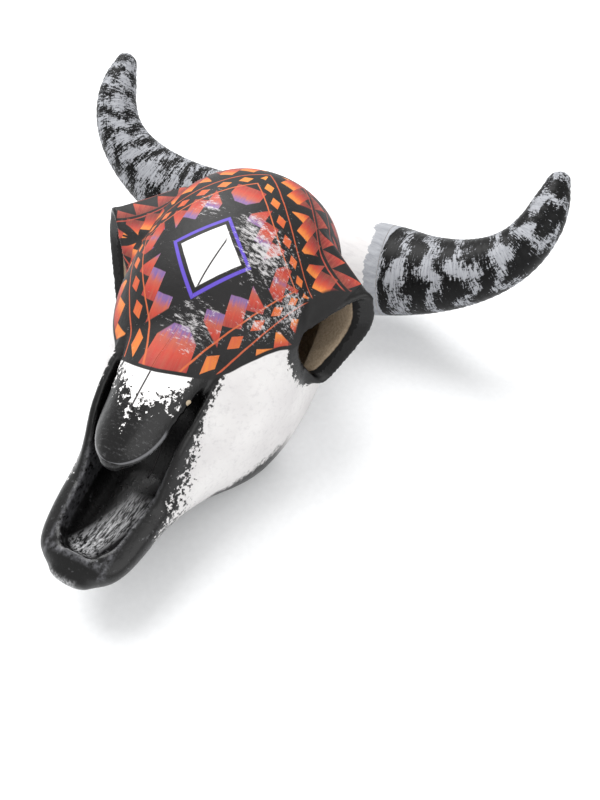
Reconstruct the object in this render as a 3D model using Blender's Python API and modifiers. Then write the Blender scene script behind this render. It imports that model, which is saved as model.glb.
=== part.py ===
"""Painted longhorn skull, a hollow cast ceramic ornament, lying on its underside.

Frame: +X is the skull's left-to-right axis, the nose points to -Y, +Z is up.
The table top is z = 0 and the origin is under the middle of the whole ornament.
The head is modelled as overlapping closed forms that are fused, carved and then
parted by thin cuts into its named parts. Units are metres.
"""
import math

import bpy
import bmesh
from mathutils import Vector

# Fineness of the fused surface and of the finished solids
VOXEL = 0.0018
SMOOTH_FORMS = 1
SMOOTH_JOINTS = 2
SMOOTH_LAST = 5
CRANIUM_TRIANGLES = 5400
JAW_TRIANGLES = 2900
NASAL_TRIANGLES = 1100
FORM_STEP = 0.005
RING_POINTS = 40

# Gap between the named parts, what a first cut leaves for the last one, reach of the cutters
GAP = 0.0003
CUT_MARGIN = 0.0040
CUTTER_REACH = 0.2500

# Head, nose to poll: y, half width, top, height of the widest point, underside,
# squareness of the lower half
HEAD_STATIONS = (
    (-0.1590, 0.0130, 0.0430, 0.0370, 0.0290, 2.0),
    (-0.1540, 0.0210, 0.0470, 0.0400, 0.0250, 2.0),
    (-0.1480, 0.0252, 0.0490, 0.0415, 0.0230, 2.0),
    (-0.1390, 0.0280, 0.0510, 0.0430, 0.0205, 2.0),
    (-0.1270, 0.0300, 0.0540, 0.0450, 0.0185, 2.0),
    (-0.1140, 0.0315, 0.0570, 0.0465, 0.0160, 2.1),
    (-0.1000, 0.0345, 0.0610, 0.0470, 0.0120, 2.3),
    (-0.0860, 0.0385, 0.0680, 0.0470, 0.0070, 2.6),
    (-0.0740, 0.0425, 0.0780, 0.0460, 0.0025, 3.2),
    (-0.0620, 0.0475, 0.0910, 0.0450, -0.0010, 4.2),
    (-0.0500, 0.0525, 0.1050, 0.0450, -0.0020, 5.5),
    (-0.0380, 0.0565, 0.1180, 0.0500, -0.0020, 6.5),
    (-0.0180, 0.0610, 0.1340, 0.0600, -0.0020, 6.5),
    (0.0070, 0.0625, 0.1450, 0.0700, -0.0020, 6.5),
    (0.0320, 0.0620, 0.1495, 0.0820, -0.0020, 6.0),
    (0.0550, 0.0585, 0.1480, 0.0850, -0.0020, 5.0),
    (0.0750, 0.0510, 0.1400, 0.0850, -0.0020, 4.5),
    (0.0920, 0.0420, 0.1240, 0.0800, 0.0020, 3.8),
    (0.1040, 0.0330, 0.1060, 0.0720, 0.0120, 3.0),
)
NOSE_CAP = 0.004
POLL_CAP = 0.012
CROWN_POWER = 2.15
HEAD_RING_POINTS = 64
STATION_STEP = 0.006
CAP_DEGREES = (18, 36, 54, 70, 82)

# Nasal bone: y, half width, height of its crest
NASAL_STATIONS = (
    (-0.1118, 0.0055, 0.0812),
    (-0.1100, 0.0086, 0.0832),
    (-0.1060, 0.0128, 0.0860),
    (-0.1000, 0.0165, 0.0896),
    (-0.0930, 0.0190, 0.0932),
    (-0.0830, 0.0205, 0.0979),
    (-0.0660, 0.0237, 0.1042),
    (-0.0520, 0.0268, 0.1095),
    (-0.0350, 0.0300, 0.1180),
)
NASAL_ARCH = 0.0095
NASAL_ARCH_HALF = 0.0200
NASAL_THICKNESS = 0.0085
NASAL_TIP = 0.0022
NASAL_EDGE_POWER = 0.7
NASAL_STEP = 0.004
NASAL_RING_POINTS = 28

# Nasal trough: y, half width, floor height, roof height
TROUGH_STATIONS = (
    (-0.1460, 0.0110, 0.0390, 0.1200),
    (-0.1390, 0.0160, 0.0350, 0.1200),
    (-0.1250, 0.0185, 0.0310, 0.1200),
    (-0.1050, 0.0212, 0.0290, 0.1200),
    (-0.0850, 0.0235, 0.0300, 0.1200),
    (-0.0720, 0.0245, 0.0400, 0.1050),
    (-0.0600, 0.0245, 0.0620, 0.0950),
)
TROUGH_CAP = 0.005
TROUGH_SIDE_POWER = 6.0
TROUGH_FLOOR_POWER = 2.2
TROUGH_BELLY = 0.6

# Raised wall beside the nasal bone: y, x of its crest, height of its crest, x of its foot
WALL_STATIONS = (
    (-0.1200, 0.0235, 0.0500, 0.0300),
    (-0.1100, 0.0240, 0.0575, 0.0315),
    (-0.0980, 0.0255, 0.0690, 0.0340),
    (-0.0880, 0.0270, 0.0790, 0.0365),
    (-0.0740, 0.0290, 0.0870, 0.0410),
    (-0.0600, 0.0300, 0.0930, 0.0460),
    (-0.0460, 0.0310, 0.0990, 0.0500),
)
WALL_CREST = 0.0032
WALL_FOOT = 0.0480

# Eye socket: corners of the hole's rim, front roof, back roof, back floor, front floor
HOLE_CORNERS = (
    Vector((0.0570, -0.0050, 0.0920)),
    Vector((0.0830, 0.0250, 0.1105)),
    Vector((0.0870, 0.0225, 0.0915)),
    Vector((0.0740, 0.0015, 0.0650)),
)
# The same corners where the socket grows out of the side of the head
ROOT_CORNERS = (
    Vector((0.0300, -0.0300, 0.1080)),
    Vector((0.0450, 0.0540, 0.1320)),
    Vector((0.0500, 0.0500, 0.0700)),
    Vector((0.0450, -0.0200, 0.0400)),
)
SOCKET_RIM = 0.0085
SOCKET_POWER = 4.5
SOCKET_REACH = 1.10
SOCKET_OFFSET = -0.0020
EYE_DIRECTION = Vector((-1.0, 0.0, -0.05))
EYE_WALL = 0.0075
ROOT_WALL = 0.0105
# Depth behind the hole, and how far the form stands out there beyond the hole's corners
RIM_STEPS = (
    (-0.0010, 0.75 * SOCKET_RIM),
    (0.0010, 0.95 * SOCKET_RIM),
    (0.0040, SOCKET_RIM),
)
EYE_STEPS = (
    (-0.0120, 0.0075),
    (0.0000, 0.0036),
    (EYE_WALL, 0.0000),
    (EYE_WALL + 0.0040, 0.0020),
)

# Hollow of the cranium, behind a wall of even thickness
SHELL = 0.0070
HOLLOW_FRONT = -0.0330
HOLLOW_BACK = 0.0880
HOLLOW_CAPS = (0.0060, 0.0080)

# Bulge at the back of the head, between the horns
POLL_MIDDLE = Vector((0.0, 0.1080, 0.0580))
POLL_RADII = Vector((0.0360, 0.0380, 0.0420))

# Horn centre line from inside the cranium to the tip, with its radius
HORN_STATIONS = (
    (0.0000, 0.1100, 0.0560, 0.0350),
    (0.0400, 0.1230, 0.0500, 0.0350),
    (0.0727, 0.1301, 0.0518, 0.0333),
    (0.0991, 0.1238, 0.0632, 0.0281),
    (0.1227, 0.1211, 0.0759, 0.0234),
    (0.1409, 0.1226, 0.0892, 0.0197),
    (0.1531, 0.1285, 0.1026, 0.0168),
    (0.1594, 0.1383, 0.1161, 0.0144),
    (0.1607, 0.1490, 0.1276, 0.0117),
    (0.1602, 0.1574, 0.1362, 0.0080),
)
HORN_ROOT = 2.0
BOSS_END = 2.6
HORN_RING_POINTS = 22
HORN_STEP = 0.25
TIP_ANGLES = (0.45, 0.85, 1.20, 1.42)
HORN_CUT_HALF = 0.0500
HORN_CUT_REACH = 0.1500

# Parting planes and the underside
JAW_PLANE = -0.0450
PALATE_HALF = 0.0150
PALATE_DEPTH = 0.0050
PALATE_FRONT = -0.0600
PALATE_BACK = 0.0700

SMOOTH_ANGLE = 40

# Base colour and roughness of each part's own material
FINISHES = {
    "cranium": ((0.030, 0.028, 0.028, 1.0), 0.55),
    "upper_jaw": ((0.800, 0.790, 0.780, 1.0), 0.60),
    "nasal_bone": ((0.050, 0.048, 0.048, 1.0), 0.50),
    "horn": ((0.090, 0.090, 0.095, 1.0), 0.55),
}


def clear_scene():
    for item in list(bpy.data.objects):
        bpy.data.objects.remove(item, do_unlink=True)


def hermite(values, positions, k, f):
    """Smooth value between entries k and k + 1, with slopes from their neighbours."""
    before = max(k - 1, 0)
    after = min(k + 2, len(values) - 1)
    span = positions[k + 1] - positions[k]
    slope_a = (values[k + 1] - values[before]) / (positions[k + 1] - positions[before]) * span
    slope_b = (values[after] - values[k]) / (positions[after] - positions[k]) * span
    rise = 3 * f ** 2 - 2 * f ** 3
    start = f ** 3 - 2 * f ** 2 + f
    end = f ** 3 - f ** 2
    return values[k] * (1 - rise) + values[k + 1] * rise + slope_a * start + slope_b * end


def station_at(stations, y):
    """Dimensions at y, from a table of stations sorted by y."""
    k = 0
    while k < len(stations) - 2 and stations[k + 1][0] < y:
        k += 1
    f = (y - stations[k][0]) / (stations[k + 1][0] - stations[k][0])
    f = min(max(f, 0.0), 1.0)
    positions = [row[0] for row in stations]
    return [hermite([row[c] for row in stations], positions, k, f) for c in range(1, len(stations[0]))]


def steps_between(first, last, step):
    count = max(2, round((last - first) / step))
    return [first + (last - first) * k / count for k in range(count + 1)]


def loft(name, rings):
    """Closed solid through rings of equal count, its ends closed by fans."""
    bm = bmesh.new()
    loops = [[bm.verts.new(point) for point in ring] for ring in rings]
    count = len(rings[0])
    for one, two in zip(loops, loops[1:]):
        for k in range(count):
            m = (k + 1) % count
            bm.faces.new((one[k], one[m], two[m], two[k]))
    for loop in (loops[0], loops[-1]):
        middle = bm.verts.new(sum((v.co for v in loop), Vector()) / count)
        for k in range(count):
            bm.faces.new((loop[k], loop[(k + 1) % count], middle))
    bmesh.ops.recalc_face_normals(bm, faces=bm.faces)
    mesh = bpy.data.meshes.new(name)
    bm.to_mesh(mesh)
    bm.free()
    return bpy.data.objects.new(name, mesh)


def domed(edge, depth):
    """Rings that shrink away from an end ring along Y."""
    middle = sum((Vector(p) for p in edge), Vector()) / len(edge)
    rings = []
    for degrees in CAP_DEGREES:
        angle = math.radians(degrees)
        shift = Vector((0, depth * math.sin(angle), 0))
        rings.append([tuple(middle + (Vector(p) - middle) * math.cos(angle) + shift) for p in edge])
    return rings


def capped(rings, front, back):
    """Adds rings that round off one or both ends of a loft along Y."""
    out = list(rings)
    if front:
        out = domed(rings[0], -front)[::-1] + out
    if back:
        out = out + domed(rings[-1], back)
    return out


def power_wave(angle, power):
    """Cosine and sine of an angle, squared up towards a rounded rectangle."""
    c = math.cos(angle)
    s = math.sin(angle)
    return math.copysign(abs(c) ** (2 / power), c), math.copysign(abs(s) ** (2 / power), s)


def section(y, half, top, middle, bottom, crown, base, count):
    """Ring at y: a crowned upper half on a squarer lower half."""
    ring = []
    for k in range(count):
        angle = 2 * math.pi * k / count
        upper = math.sin(angle) >= 0
        u, v = power_wave(angle, crown if upper else base)
        ring.append((half * u, y, middle + v * (top - middle if upper else middle - bottom)))
    return ring


def head_form(name, first, last, inset, caps):
    """The head, or with an inset the hollow inside it."""
    rings = []
    for y in steps_between(first, last, STATION_STEP):
        half, top, middle, bottom, base = station_at(HEAD_STATIONS, y)
        rings.append(section(y, half - inset, top - inset, middle, bottom + inset,
                             CROWN_POWER, base, HEAD_RING_POINTS))
    return loft(name, capped(rings, *caps))


def trough_form():
    """Cutter: the open nasal trough between the sides of the muzzle."""
    rings = []
    for y in steps_between(TROUGH_STATIONS[0][0], TROUGH_STATIONS[-1][0], FORM_STEP):
        half, floor, roof = station_at(TROUGH_STATIONS, y)
        rings.append(section(y, half, roof, floor + TROUGH_BELLY * half, floor,
                             TROUGH_SIDE_POWER, TROUGH_FLOOR_POWER, RING_POINTS))
    return loft("trough", capped(rings, TROUGH_CAP, TROUGH_CAP))


def wall_form(side):
    """The wall of the trough that rises beside the nasal bone."""
    rings = []
    r = WALL_CREST
    for y in steps_between(WALL_STATIONS[0][0], WALL_STATIONS[-1][0], FORM_STEP):
        crest_x, crest_z, foot_x = station_at(WALL_STATIONS, y)
        profile = (
            (crest_x - r, WALL_FOOT),
            (crest_x - r, crest_z - r),
            (crest_x - 0.6 * r, crest_z - 0.3 * r),
            (crest_x, crest_z),
            (crest_x + 0.7 * r, crest_z - 0.4 * r),
            (0.5 * (crest_x + foot_x) + 0.4 * r, 0.5 * (crest_z + WALL_FOOT)),
            (foot_x, WALL_FOOT),
        )
        rings.append([(side * x, y, z) for x, z in profile])
    return loft("wall", rings)


def nasal_form(name, last, grow):
    """The arched tongue of the nasal bones, or with grow its clearance."""
    rings = []
    half_thickness = 0.5 * NASAL_THICKNESS
    for y in steps_between(NASAL_STATIONS[0][0], last, NASAL_STEP):
        half, crest = station_at(NASAL_STATIONS, y)
        arch = NASAL_ARCH * min(half / NASAL_ARCH_HALF, 1.0) ** 2
        ring = []
        for k in range(NASAL_RING_POINTS):
            angle = 2 * math.pi * k / NASAL_RING_POINTS
            u = math.cos(angle)
            v = math.sin(angle)
            edge = (half_thickness + grow) * math.copysign(abs(v) ** NASAL_EDGE_POWER, v)
            ring.append(((half + grow) * u, y, crest - half_thickness - arch * u * u + edge))
        rings.append(ring)
    return loft(name, capped(rings, NASAL_TIP + grow, 0.0))


def corner_ring(corners, grow, shift, side):
    """Rounded four-sided ring inside four corners, grown and shifted."""
    middle = sum(corners, Vector()) / 4
    wide = [c + (c - middle).normalized() * grow + shift for c in corners]
    ring = []
    for k in range(RING_POINTS):
        u, v = power_wave(2 * math.pi * k / RING_POINTS, SOCKET_POWER)
        u = 0.5 + 0.5 * u * SOCKET_REACH
        v = 0.5 + 0.5 * v * SOCKET_REACH
        roof = wide[0].lerp(wide[1], u)
        floor = wide[3].lerp(wide[2], u)
        p = floor.lerp(roof, v)
        ring.append((side * p.x + SOCKET_OFFSET, p.y, p.z))
    return ring


def socket_form(side):
    """The flared brow and rim round an eye hole."""
    rings = [corner_ring(HOLE_CORNERS, grow, EYE_DIRECTION * depth, side) for depth, grow in RIM_STEPS]
    rings.append(corner_ring(ROOT_CORNERS, 0.0, Vector(), side))
    return loft("socket", rings)


def eye_form(side):
    """Cutter: the eye hole, opening behind its wall into the hollow of the flare."""
    rings = [corner_ring(HOLE_CORNERS, grow, EYE_DIRECTION * depth, side) for depth, grow in EYE_STEPS]
    rings.append(corner_ring(ROOT_CORNERS, -ROOT_WALL, Vector(), side))
    return loft("eye_hole", rings)


def horn_at(t, side):
    """Centre and radius of a horn at station t."""
    k = min(int(t), len(HORN_STATIONS) - 2)
    counts = list(range(len(HORN_STATIONS)))
    x, y, z, r = [hermite([row[c] for row in HORN_STATIONS], counts, k, t - k) for c in range(4)]
    return Vector((side * x, y, z)), r


def horn_direction(t, side):
    last = len(HORN_STATIONS) - 1
    return (horn_at(min(t + 0.05, last), side)[0] - horn_at(max(t - 0.05, 0), side)[0]).normalized()


def horn_form(name, side, first, last, tip):
    """A horn between two stations, with its tip rounded off where it has one."""
    rings = []
    for t in steps_between(first, last, HORN_STEP):
        centre, radius = horn_at(t, side)
        along = horn_direction(t, side)
        caps = [(0.0, 1.0)]
        if tip and t == last:
            caps += [(radius * math.sin(a), math.cos(a)) for a in TIP_ANGLES]
        u = Vector((0, 1, 0)).cross(along).normalized()
        v = along.cross(u)
        for shift, grow in caps:
            ring = []
            for k in range(HORN_RING_POINTS):
                angle = 2 * math.pi * k / HORN_RING_POINTS
                spoke = u * math.cos(angle) + v * math.sin(angle)
                ring.append(tuple(centre + along * shift + spoke * radius * grow))
            rings.append(ring)
    return loft(name, rings)


def poll_form():
    """The bulge that fills the back of the head where the horn bosses meet."""
    bm = bmesh.new()
    bmesh.ops.create_uvsphere(bm, u_segments=RING_POINTS, v_segments=RING_POINTS // 2, radius=1.0)
    for vertex in bm.verts:
        vertex.co = vertex.co * POLL_RADII + POLL_MIDDLE
    mesh = bpy.data.meshes.new("poll")
    bm.to_mesh(mesh)
    bm.free()
    return bpy.data.objects.new("poll", mesh)


def block(name, low, high):
    """Cutter: a box between two corners."""
    bpy.ops.mesh.primitive_cube_add(size=1.0)
    item = bpy.context.object
    item.name = name
    size = Vector(high) - Vector(low)
    middle = (Vector(high) + Vector(low)) / 2
    for vertex in item.data.vertices:
        vertex.co = vertex.co * size + middle
    return item


def slab(name, axis, low, high):
    """Cutter: all that lies between two levels along one axis."""
    corners = [Vector((-CUTTER_REACH,) * 3), Vector((CUTTER_REACH,) * 3)]
    corners[0][axis] = low
    corners[1][axis] = high
    return block(name, *corners)


def palate_form():
    """Cutter: the shallow channel along the underside."""
    low = (-PALATE_HALF, PALATE_FRONT, -PALATE_DEPTH)
    return block("palate", low, (PALATE_HALF, PALATE_BACK, PALATE_DEPTH))


def horn_cutter(side):
    """Cutter: all that lies beyond the face where a horn is joined on."""
    centre = horn_at(HORN_ROOT, side)[0]
    low = (-HORN_CUT_HALF, -HORN_CUT_HALF, 0.0)
    item = block("horn_cutter", low, (HORN_CUT_HALF, HORN_CUT_HALF, HORN_CUT_REACH))
    turn = Vector((0, 0, 1)).rotation_difference(horn_direction(HORN_ROOT, side)).to_matrix()
    for vertex in item.data.vertices:
        vertex.co = centre + turn @ vertex.co
    return item


def applied(item):
    """Gives an object its evaluated mesh and drops its modifiers."""
    graph = bpy.context.evaluated_depsgraph_get()
    mesh = bpy.data.meshes.new_from_object(item.evaluated_get(graph))
    item.modifiers.clear()
    item.data = mesh
    return item


def joined(name, forms, parts):
    """One mesh object that holds all the given forms."""
    bm = bmesh.new()
    for item in forms:
        bm.from_mesh(item.data)
        bpy.data.objects.remove(item, do_unlink=True)
    mesh = bpy.data.meshes.new(name)
    bm.to_mesh(mesh)
    bm.free()
    whole = bpy.data.objects.new(name, mesh)
    parts.objects.link(whole)
    return whole


def fused(item, smooth):
    """Makes overlapping forms one rounded surface."""
    remesh = item.modifiers.new("fuse", "REMESH")
    remesh.mode = "VOXEL"
    remesh.voxel_size = VOXEL
    relax = item.modifiers.new("relax", "SMOOTH")
    relax.factor = 0.5
    relax.iterations = smooth
    return applied(item)


def thinned(item, triangles):
    """Reduces a fused surface to about a number of triangles."""
    item.modifiers.new("split", "TRIANGULATE")
    applied(item)
    thin = item.modifiers.new("thin", "DECIMATE")
    thin.ratio = triangles / len(item.data.polygons)
    return applied(item)


def carved(item, tools, cutters):
    """Takes each tool's shape away from an object."""
    for tool in tools:
        for home in list(tool.users_collection):
            home.objects.unlink(tool)
        cutters.objects.link(tool)
        tool.hide_render = True
        tool.display_type = "WIRE"
        cut = item.modifiers.new("cut", "BOOLEAN")
        cut.operation = "DIFFERENCE"
        cut.object = tool
        applied(item)
    return item


def largest_surface(item):
    """Drops every loose scrap but the largest closed surface."""
    bm = bmesh.new()
    bm.from_mesh(item.data)
    bmesh.ops.remove_doubles(bm, verts=bm.verts, dist=1e-6)
    bmesh.ops.triangulate(bm, faces=bm.faces)
    left = set(bm.faces)
    best = set()
    while left:
        seed = left.pop()
        shell = {seed}
        queue = [seed]
        while queue:
            for edge in queue.pop().edges:
                for face in edge.link_faces:
                    if face not in shell:
                        shell.add(face)
                        queue.append(face)
        left -= shell
        if len(shell) > len(best):
            best = shell
    bmesh.ops.delete(bm, geom=[f for f in bm.faces if f not in best], context="FACES")
    bm.to_mesh(item.data)
    bm.free()
    return item


def finished(item, name, finish):
    """Names a part, gives it its material and shades it smooth."""
    largest_surface(item)
    item.name = name
    item.data.name = name
    colour, roughness = FINISHES[finish]
    material = bpy.data.materials.new(name)
    material.use_nodes = True
    shader = material.node_tree.nodes["Principled BSDF"]
    shader.inputs["Base Color"].default_value = colour
    shader.inputs["Roughness"].default_value = roughness
    item.data.materials.clear()
    item.data.materials.append(material)
    item.data.shade_smooth()
    item.data.set_sharp_from_angle(angle=math.radians(SMOOTH_ANGLE))


def make_head(parts, cutters):
    """The head and its open trough, solid still and without sockets and horn bosses."""
    first = HEAD_STATIONS[0][0]
    last = HEAD_STATIONS[-1][0]
    head = joined("head", [head_form("head", first, last, 0.0, (NOSE_CAP, POLL_CAP)),
                           wall_form(-1), wall_form(1)], parts)
    fused(head, SMOOTH_FORMS)
    return carved(head, [trough_form()], cutters)


def make_cranium(head, parts, cutters):
    """The hollow back of the head with its sockets and horn bosses."""
    whole = bpy.data.objects.new("whole", head.data.copy())
    forms = [whole, nasal_form("root", NASAL_STATIONS[-1][0], 0.0), poll_form()]
    for side in (-1, 1):
        forms.append(socket_form(side))
        forms.append(horn_form("boss", side, 0.0, BOSS_END, False))
    cranium = joined("cranium", forms, parts)
    fused(cranium, SMOOTH_JOINTS)
    hollow = head_form("hollow", HOLLOW_FRONT, HOLLOW_BACK, SHELL, HOLLOW_CAPS)
    carved(cranium, [hollow, eye_form(-1), eye_form(1)], cutters)
    fused(cranium, SMOOTH_LAST)
    carved(cranium, [slab("front", 1, -CUTTER_REACH, JAW_PLANE - CUT_MARGIN)], cutters)
    thinned(cranium, CRANIUM_TRIANGLES)
    tools = [slab("front", 1, -CUTTER_REACH, JAW_PLANE), slab("table", 2, -CUTTER_REACH, 0.0),
             palate_form(), horn_cutter(-1), horn_cutter(1)]
    return carved(cranium, tools, cutters)


def make_nasal(parts, cutters):
    """The nasal bone in front of the cranium."""
    nasal = joined("nasal_bone", [nasal_form("tongue", JAW_PLANE + CUT_MARGIN, 0.0)], parts)
    fused(nasal, SMOOTH_FORMS)
    thinned(nasal, NASAL_TRIANGLES)
    return carved(nasal, [slab("back", 1, JAW_PLANE - GAP, CUTTER_REACH)], cutters)


def make_jaw(head, cutters):
    """The muzzle and cheeks in front of the cranium, with room for the nasal bone."""
    fused(head, SMOOTH_LAST)
    carved(head, [slab("back", 1, JAW_PLANE + CUT_MARGIN, CUTTER_REACH)], cutters)
    thinned(head, JAW_TRIANGLES)
    tools = [slab("back", 1, JAW_PLANE - GAP, CUTTER_REACH), slab("table", 2, -CUTTER_REACH, 0.0),
             palate_form(), nasal_form("nasal_room", NASAL_STATIONS[-1][0], 2 * GAP)]
    return carved(head, tools, cutters)


def make_horn(name, side, parts):
    """A horn, moved out along its own line by the gap to its boss."""
    horn = horn_form(name, side, HORN_ROOT, len(HORN_STATIONS) - 1.0, True)
    along = horn_direction(HORN_ROOT, side)
    for vertex in horn.data.vertices:
        vertex.co += along * GAP
    parts.objects.link(horn)
    return horn


def main():
    clear_scene()
    parts = bpy.data.collections.new("longhorn_skull")
    cutters = bpy.data.collections.new("cutters")
    for group in (parts, cutters):
        bpy.context.scene.collection.children.link(group)

    head = make_head(parts, cutters)
    cranium = make_cranium(head, parts, cutters)
    jaw = make_jaw(head, cutters)
    nasal = make_nasal(parts, cutters)
    finished(cranium, "cranium", "cranium")
    finished(jaw, "upper_jaw", "upper_jaw")
    finished(nasal, "nasal_bone", "nasal_bone")

    for side, name in ((-1, "horn_left"), (1, "horn_right")):
        finished(make_horn(name, side, parts), name, "horn")


main()
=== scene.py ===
import math

import bmesh
import bpy
from mathutils import Matrix, Vector
from mathutils.bvhtree import BVHTree


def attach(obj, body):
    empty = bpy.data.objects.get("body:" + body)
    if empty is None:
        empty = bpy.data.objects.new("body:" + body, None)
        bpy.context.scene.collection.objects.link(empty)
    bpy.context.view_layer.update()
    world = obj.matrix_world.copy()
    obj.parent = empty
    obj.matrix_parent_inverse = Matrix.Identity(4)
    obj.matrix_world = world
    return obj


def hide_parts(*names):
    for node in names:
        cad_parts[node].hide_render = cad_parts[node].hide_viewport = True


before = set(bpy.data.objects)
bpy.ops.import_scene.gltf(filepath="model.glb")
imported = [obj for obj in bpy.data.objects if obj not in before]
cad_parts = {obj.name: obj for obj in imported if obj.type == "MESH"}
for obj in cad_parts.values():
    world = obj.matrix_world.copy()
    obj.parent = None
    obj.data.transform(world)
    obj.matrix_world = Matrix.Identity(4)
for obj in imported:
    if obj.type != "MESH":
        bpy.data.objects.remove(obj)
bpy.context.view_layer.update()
print("frame loaded")


# Small shape tools

domeAngles = (18, 36, 54, 70, 82)
sharpAngle = math.radians(50)


def hermite(values, positions, k, f):
    before = max(k - 1, 0)
    after = min(k + 2, len(values) - 1)
    span = positions[k + 1] - positions[k]
    slopeA = (values[k + 1] - values[before]) / (positions[k + 1] - positions[before]) * span
    slopeB = (values[after] - values[k]) / (positions[after] - positions[k]) * span
    rise = 3 * f ** 2 - 2 * f ** 3
    return (values[k] * (1 - rise) + values[k + 1] * rise
            + slopeA * (f ** 3 - 2 * f ** 2 + f) + slopeB * (f ** 3 - f ** 2))


def stationAt(stations, y):
    k = 0
    while k < len(stations) - 2 and stations[k + 1][0] < y:
        k += 1
    f = (y - stations[k][0]) / (stations[k + 1][0] - stations[k][0])
    f = min(max(f, 0.0), 1.0)
    positions = [row[0] for row in stations]
    return [hermite([row[c] for row in stations], positions, k, f) for c in range(1, len(stations[0]))]


def stepsBetween(first, last, step):
    count = max(2, round((last - first) / step))
    return [first + (last - first) * k / count for k in range(count + 1)]


def objectFrom(bm, name):
    mesh = bpy.data.meshes.new(name)
    bm.to_mesh(mesh)
    bm.free()
    return bpy.data.objects.new(name, mesh)


def linked(item):
    bpy.context.scene.collection.objects.link(item)
    return item


def loft(name, rings):
    # a closed solid through rings of equal count, its ends closed by fans
    bm = bmesh.new()
    loops = [[bm.verts.new(point) for point in ring] for ring in rings]
    count = len(rings[0])
    for one, two in zip(loops, loops[1:]):
        for k in range(count):
            m = (k + 1) % count
            bm.faces.new((one[k], one[m], two[m], two[k]))
    for loop in (loops[0], loops[-1]):
        middle = bm.verts.new(sum((v.co for v in loop), Vector()) / count)
        for k in range(count):
            bm.faces.new((loop[k], loop[(k + 1) % count], middle))
    bmesh.ops.recalc_face_normals(bm, faces=bm.faces)
    return objectFrom(bm, name)


def domed(edge, depth):
    # rings that shrink away from an end ring along Y
    middle = sum((Vector(p) for p in edge), Vector()) / len(edge)
    rings = []
    for degrees in domeAngles:
        angle = math.radians(degrees)
        shift = Vector((0, depth * math.sin(angle), 0))
        rings.append([tuple(middle + (Vector(p) - middle) * math.cos(angle) + shift) for p in edge])
    return rings


def capped(rings, front, back):
    out = list(rings)
    if front:
        out = domed(rings[0], -front)[::-1] + out
    if back:
        out = out + domed(rings[-1], back)
    return out


def powerWave(angle, power):
    # cosine and sine squared up towards a rounded rectangle
    c = math.cos(angle)
    s = math.sin(angle)
    return math.copysign(abs(c) ** (2 / power), c), math.copysign(abs(s) ** (2 / power), s)


def section(y, half, top, middle, bottom, crown, base, count):
    ring = []
    for k in range(count):
        angle = 2 * math.pi * k / count
        upper = math.sin(angle) >= 0
        u, v = powerWave(angle, crown if upper else base)
        ring.append((half * u, y, middle + v * (top - middle if upper else middle - bottom)))
    return ring


def block(name, low, high):
    bm = bmesh.new()
    bmesh.ops.create_cube(bm, size=1.0)
    size = Vector(high) - Vector(low)
    middle = (Vector(high) + Vector(low)) / 2
    for vertex in bm.verts:
        vertex.co = vertex.co * size + middle
    return objectFrom(bm, name)


def applied(item):
    graph = bpy.context.evaluated_depsgraph_get()
    mesh = bpy.data.meshes.new_from_object(item.evaluated_get(graph))
    item.modifiers.clear()
    item.data = mesh
    return item


def joined(name, forms):
    bm = bmesh.new()
    for item in forms:
        bm.from_mesh(item.data)
        bpy.data.objects.remove(item, do_unlink=True)
    return linked(objectFrom(bm, name))


def fused(item, voxel, smooth):
    # overlapping forms become one rounded surface
    remesh = item.modifiers.new("fuse", "REMESH")
    remesh.mode = "VOXEL"
    remesh.voxel_size = voxel
    relax = item.modifiers.new("relax", "SMOOTH")
    relax.factor = 0.5
    relax.iterations = smooth
    return applied(item)


def carved(item, tools, operation="DIFFERENCE"):
    for tool in tools:
        linked(tool)
        cut = item.modifiers.new("cut", "BOOLEAN")
        cut.operation = operation
        cut.object = tool
        applied(item)
        bpy.data.objects.remove(tool, do_unlink=True)
    return item


def copied(item, name):
    return linked(bpy.data.objects.new(name, item.data.copy()))


def shaded(item):
    # smooth, but for the edges where the surface turns sharply
    item.data.shade_smooth()
    item.data.set_sharp_from_angle(angle=sharpAngle)
    return item


def treeOf(item):
    bm = bmesh.new()
    bm.from_mesh(item.data)
    tree = BVHTree.FromBMesh(bm)
    bm.free()
    return tree


# Forms of the casting

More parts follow.
